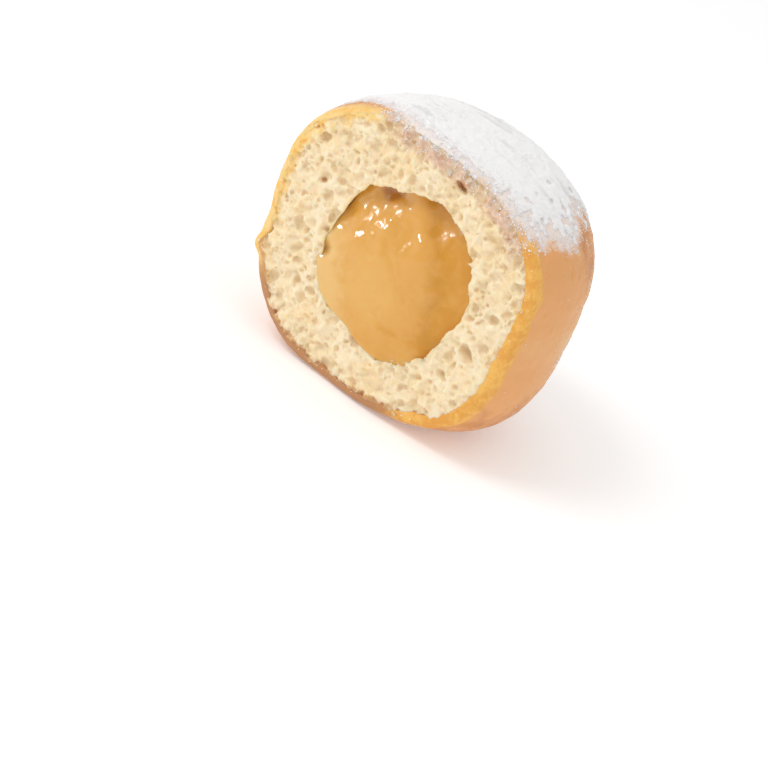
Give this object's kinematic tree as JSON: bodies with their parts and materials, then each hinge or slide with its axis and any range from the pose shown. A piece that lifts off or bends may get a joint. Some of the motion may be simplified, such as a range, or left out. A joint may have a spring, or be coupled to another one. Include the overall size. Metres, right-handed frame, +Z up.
{
  "type": "cut jelly doughnut",
  "caption": "Filled ball doughnut with a slice cut off its front, so that a pocket of jelly shows in the pale crumb, and sugar on its crown.",
  "frame": {"origin": "middle of the footprint, on the surface that the doughnut stands on", "axes": "+Z up, -Y out of the cut face, +X to the right as seen from in front of the cut face"},
  "size_m": [0.0742, 0.0538, 0.0642],
  "materials": {
    "dough": "fried yeast dough: a browned crust with a pale collar, and an open cream crumb at the cut",
    "jelly": "wet, glossy amber fruit jelly",
    "sugar": "powdered and fine sugar that clings to the crust"
  },
  "bodies": {
    "root": {"dough": "dough", "jelly": "jelly"}
  },
  "joints": []
}
